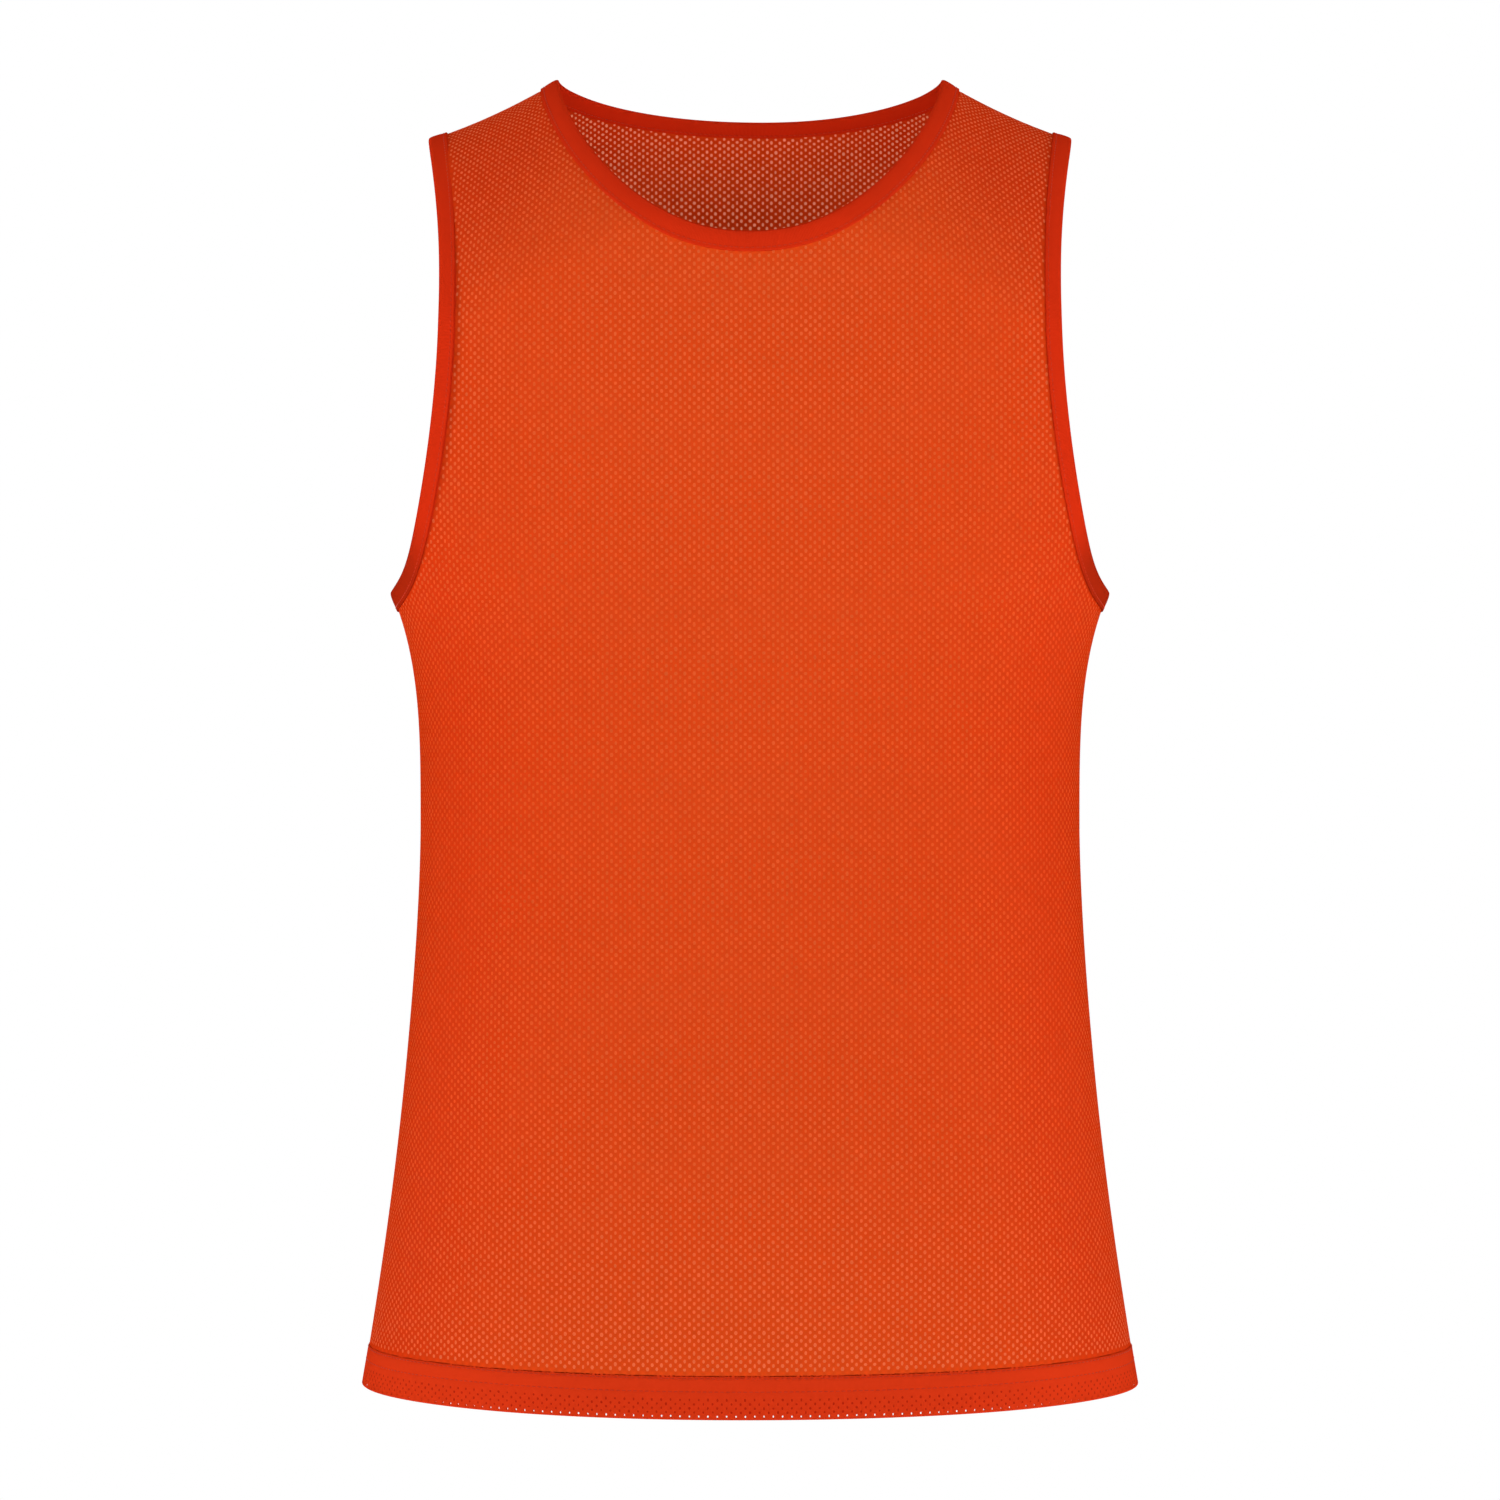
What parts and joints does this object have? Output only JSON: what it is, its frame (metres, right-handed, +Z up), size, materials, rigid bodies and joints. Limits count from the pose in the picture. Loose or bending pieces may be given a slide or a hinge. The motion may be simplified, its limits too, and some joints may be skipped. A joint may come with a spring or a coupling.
{
  "type": "training vest",
  "caption": "Sleeveless pull-over training vest in open orange mesh with bound neckline and armholes and a turned-up double-stitched hem, shaped as worn on a torso",
  "frame": {"origin": "on the shoulder line, midway between the neck-side ends of the two shoulder seams, which is where the wearer's shoulders hold the vest up", "axes": "+Z up, +X towards the viewer's right when the front is seen, -Y towards the front; the length runs along Z, the width along X and the depth from chest to back along Y"},
  "size_m": [0.406, 0.242, 0.6861],
  "materials": {
    "mesh_cloth": "open pin-mesh polyester knit, blaze orange, soft and slightly satin",
    "hem_cloth": "the same mesh knit, doubled at the turned-up hem",
    "binding_tape": "closed knit binding tape, red-orange, matt",
    "seam_cloth": "overlocked seam allowance of the mesh knit",
    "thread": "spun polyester sewing thread, slight sheen"
  },
  "bodies": {
    "root": {"front_panel": "mesh_cloth", "back_panel": "mesh_cloth", "front_hem": "hem_cloth", "back_hem": "hem_cloth", "neck_binding": "binding_tape", "neck_binding_stitching": "thread", "right_armhole_binding": "binding_tape", "left_armhole_binding": "binding_tape", "right_armhole_stitching": "thread", "left_armhole_stitching": "thread", "right_side_seam": "seam_cloth", "left_side_seam": "seam_cloth", "right_shoulder_seam": "seam_cloth", "left_shoulder_seam": "seam_cloth", "hem_stitching_upper": "thread", "hem_stitching_lower": "thread"}
  },
  "joints": []
}
